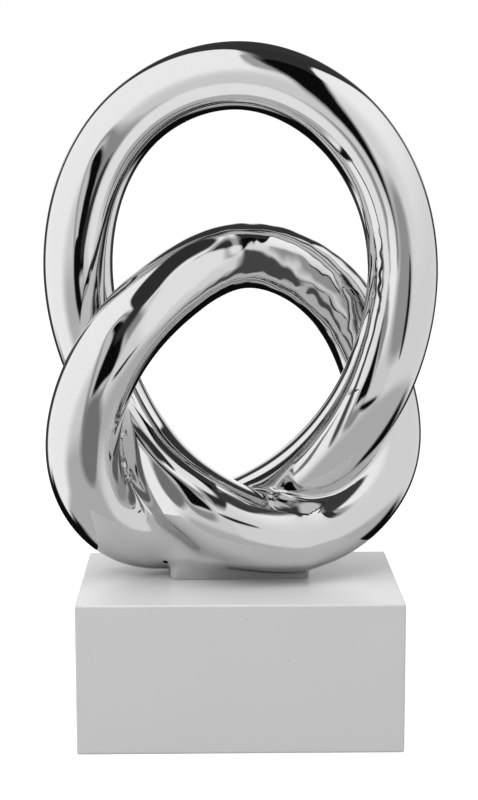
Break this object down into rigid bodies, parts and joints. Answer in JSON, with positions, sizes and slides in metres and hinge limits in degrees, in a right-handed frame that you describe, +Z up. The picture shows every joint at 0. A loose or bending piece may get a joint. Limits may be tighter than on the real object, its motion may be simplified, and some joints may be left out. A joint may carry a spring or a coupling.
{
  "type": "knot sculpture",
  "caption": "Table-top sculpture: a bright chromed tube tied into a closed knot, a big ring with a smaller ring looped through it, seated on a matt pale block plinth.",
  "frame": {"origin": "middle of the plinth's underside", "axes": "+Z up, +X along the plinth's long side, which is also the way the rings spread, -Y the side it is seen from"},
  "size_m": [0.2282, 0.124, 0.4005],
  "materials": {
    "chrome_plate": "bright chrome plate on a polished casting",
    "plinth_lacquer": "matt pale lacquer on a plain block"
  },
  "bodies": {
    "root": {"knot": "chrome_plate", "plinth": "plinth_lacquer"}
  },
  "joints": []
}
